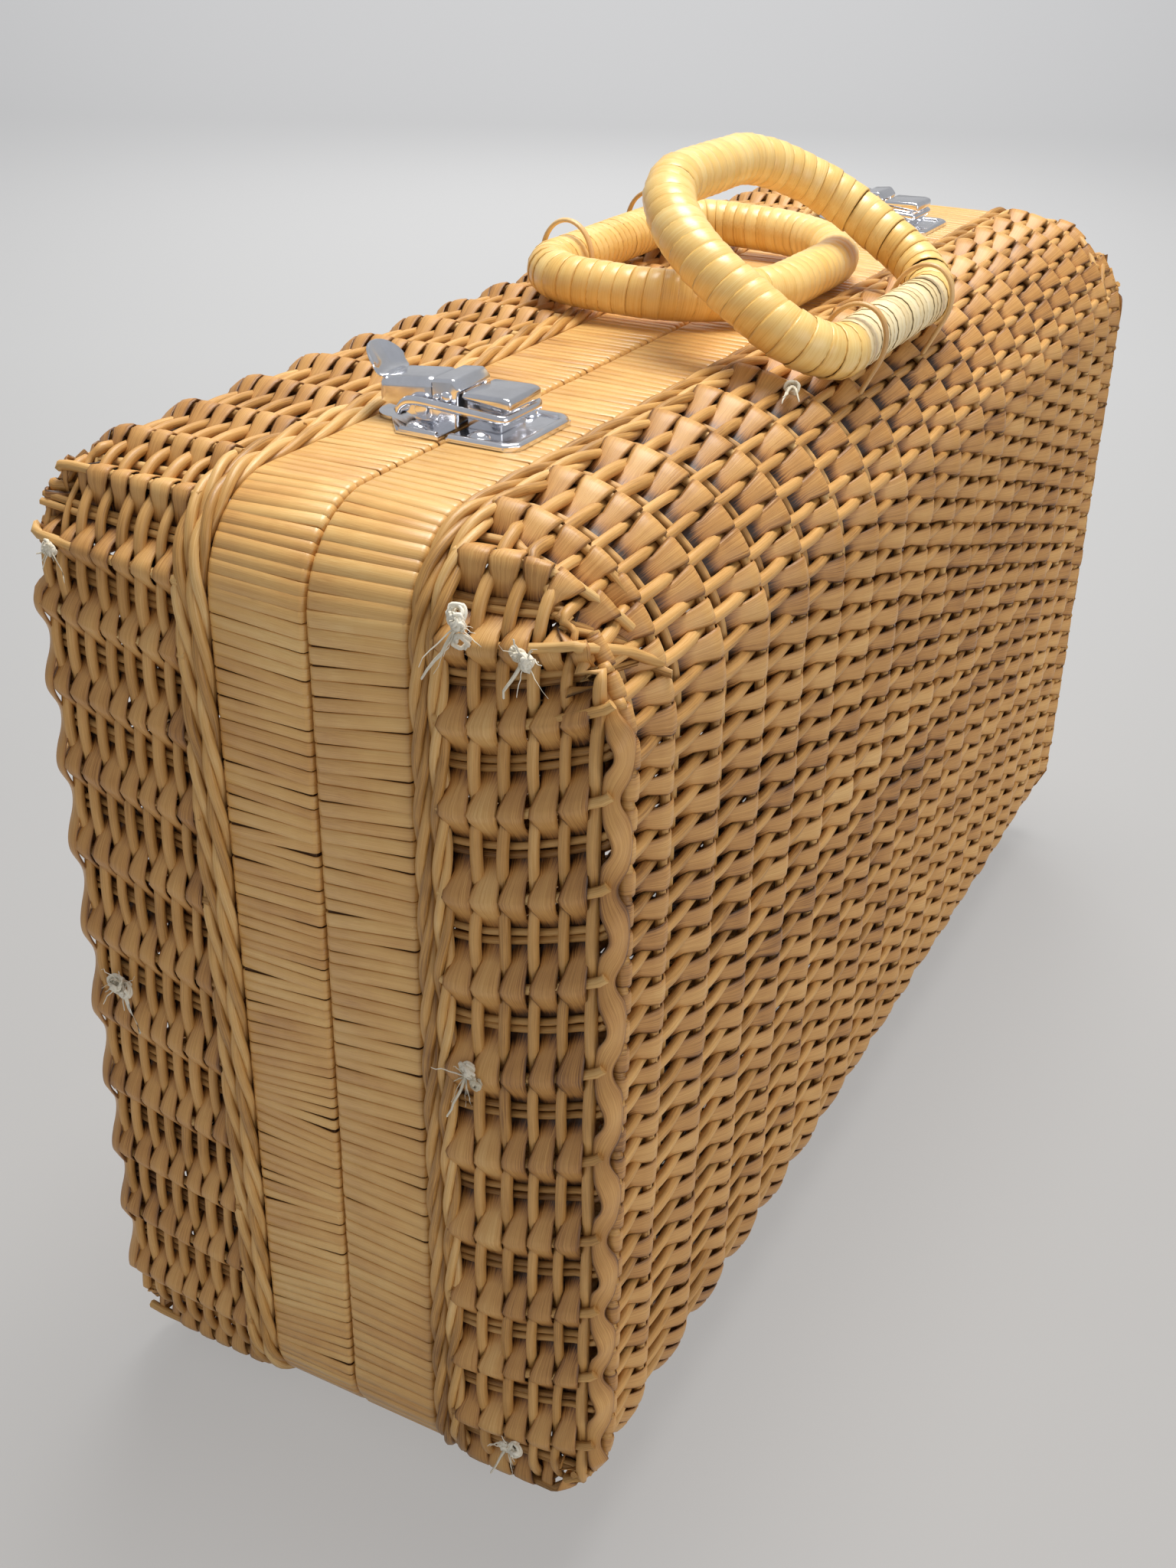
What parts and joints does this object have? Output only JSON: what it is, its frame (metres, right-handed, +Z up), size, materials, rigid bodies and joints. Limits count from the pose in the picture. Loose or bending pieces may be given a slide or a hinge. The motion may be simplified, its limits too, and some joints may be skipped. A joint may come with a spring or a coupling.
{
  "type": "wicker suitcase",
  "caption": "Woven wicker suitcase in two hinged halves with cane-wrapped rims, chrome toggle latches and two cane-wrapped ring handles.",
  "frame": {"origin": "Bottom centre of the standing case, on the surface it stands on", "axes": "+X along the length towards the far end, +Y from the front face towards the rear face, +Z up, handles on top"},
  "size_m": [0.456, 0.16, 0.3324],
  "materials": {
    "woven_reed": "Half-round and flat willow and reed weavers, dry and slightly satin, warm tan to red-brown",
    "hoop_wood": "Bare bent wood hoop, hidden under the cane",
    "rim_cane": "Smooth split cane wound edge to edge, satin honey",
    "border_reed": "Round reed twined in two rows, satin",
    "cotton_thread": "White cotton knots",
    "hinge_steel": "Plain steel leaves, pins and rivets",
    "latch_chrome": "Bright pressed and plated steel",
    "handle_core_wood": "Bent wood core, hidden under the cane",
    "handle_cane": "Glossy yellow cane wound closely round the core",
    "handle_base_cane": "Pale cream cane wound round the base bar",
    "loop_peel": "Flat peel strand bent into a loop"
  },
  "bodies": {
    "rear_shell": {"rear_basket": "woven_reed", "rear_rim_hoop": "hoop_wood", "rear_rim_wrap": "rim_cane", "rear_border": "border_reed", "rear_thread_ties": "cotton_thread", "near_latch_plate": "latch_chrome", "near_latch_plate_rivets": "latch_chrome", "near_latch_pin": "latch_chrome", "far_latch_plate": "latch_chrome", "far_latch_plate_rivets": "latch_chrome", "far_latch_pin": "latch_chrome", "near_hinge_rear_leaf": "hinge_steel", "near_hinge_pin": "hinge_steel", "far_hinge_rear_leaf": "hinge_steel", "far_hinge_pin": "hinge_steel", "hinge_rear_rivets": "hinge_steel", "rear_handle_near_loop": "loop_peel", "rear_handle_far_loop": "loop_peel"},
    "front_shell": {"front_basket": "woven_reed", "front_rim_hoop": "hoop_wood", "front_rim_wrap": "rim_cane", "front_border": "border_reed", "front_thread_ties": "cotton_thread", "near_latch_keeper": "latch_chrome", "near_latch_keeper_rivets": "latch_chrome", "far_latch_keeper": "latch_chrome", "far_latch_keeper_rivets": "latch_chrome", "near_hinge_front_leaf": "hinge_steel", "far_hinge_front_leaf": "hinge_steel", "hinge_front_rivets": "hinge_steel", "front_handle_near_loop": "loop_peel", "front_handle_far_loop": "loop_peel"},
    "near_lever": {"near_latch_lever": "latch_chrome"},
    "near_bail": {"near_latch_bail": "latch_chrome"},
    "far_lever": {"far_latch_lever": "latch_chrome"},
    "far_bail": {"far_latch_bail": "latch_chrome"},
    "rear_handle": {"rear_handle_core": "handle_core_wood", "rear_handle_wrap": "handle_cane", "rear_handle_base_wrap": "handle_cane"},
    "front_handle": {"front_handle_core": "handle_core_wood", "front_handle_wrap": "handle_cane", "front_handle_base_wrap": "handle_base_cane"}
  },
  "joints": [
    {"name": "lid_hinge", "type": "hinge", "parent": "rear_shell", "child": "front_shell", "pos_m": [0, 0, 0.0019], "axis": [1, 0, 0], "range_deg": [0, 170]},
    {"name": "near_lever_pivot", "type": "hinge", "parent": "rear_shell", "child": "near_lever", "pos_m": [-0.152, 0.0105, 0.287], "axis": [1, 0, 0], "range_deg": [0, 90]},
    {"name": "near_bail_pivot", "type": "hinge", "parent": "near_lever", "child": "near_bail", "pos_m": [-0.152, 0.01641, 0.28596], "axis": [1, 0, 0], "range_deg": [-77, 0]},
    {"name": "far_lever_pivot", "type": "hinge", "parent": "rear_shell", "child": "far_lever", "pos_m": [0.152, 0.0105, 0.287], "axis": [1, 0, 0], "range_deg": [0, 90]},
    {"name": "far_bail_pivot", "type": "hinge", "parent": "far_lever", "child": "far_bail", "pos_m": [0.152, 0.01641, 0.28596], "axis": [1, 0, 0], "range_deg": [-77, 0]},
    {"name": "front_handle_pivot", "type": "hinge", "parent": "front_shell", "child": "front_handle", "pos_m": [-0.016, -0.0585, 0.28723], "axis": [1, 0, 0], "range_deg": [0, 165]},
    {"name": "rear_handle_pivot", "type": "hinge", "parent": "rear_shell", "child": "rear_handle", "pos_m": [0.016, 0.049, 0.2931], "axis": [-1, 0, 0], "range_deg": [0, 165]}
  ],
  "couplings": [
    {"joint": "near_bail_pivot", "follows": "near_lever_pivot", "ratio": -0.845},
    {"joint": "far_bail_pivot", "follows": "far_lever_pivot", "ratio": -0.845},
    {"joint": "rear_handle_pivot", "follows": "front_handle_pivot", "ratio": 0.85}
  ]
}
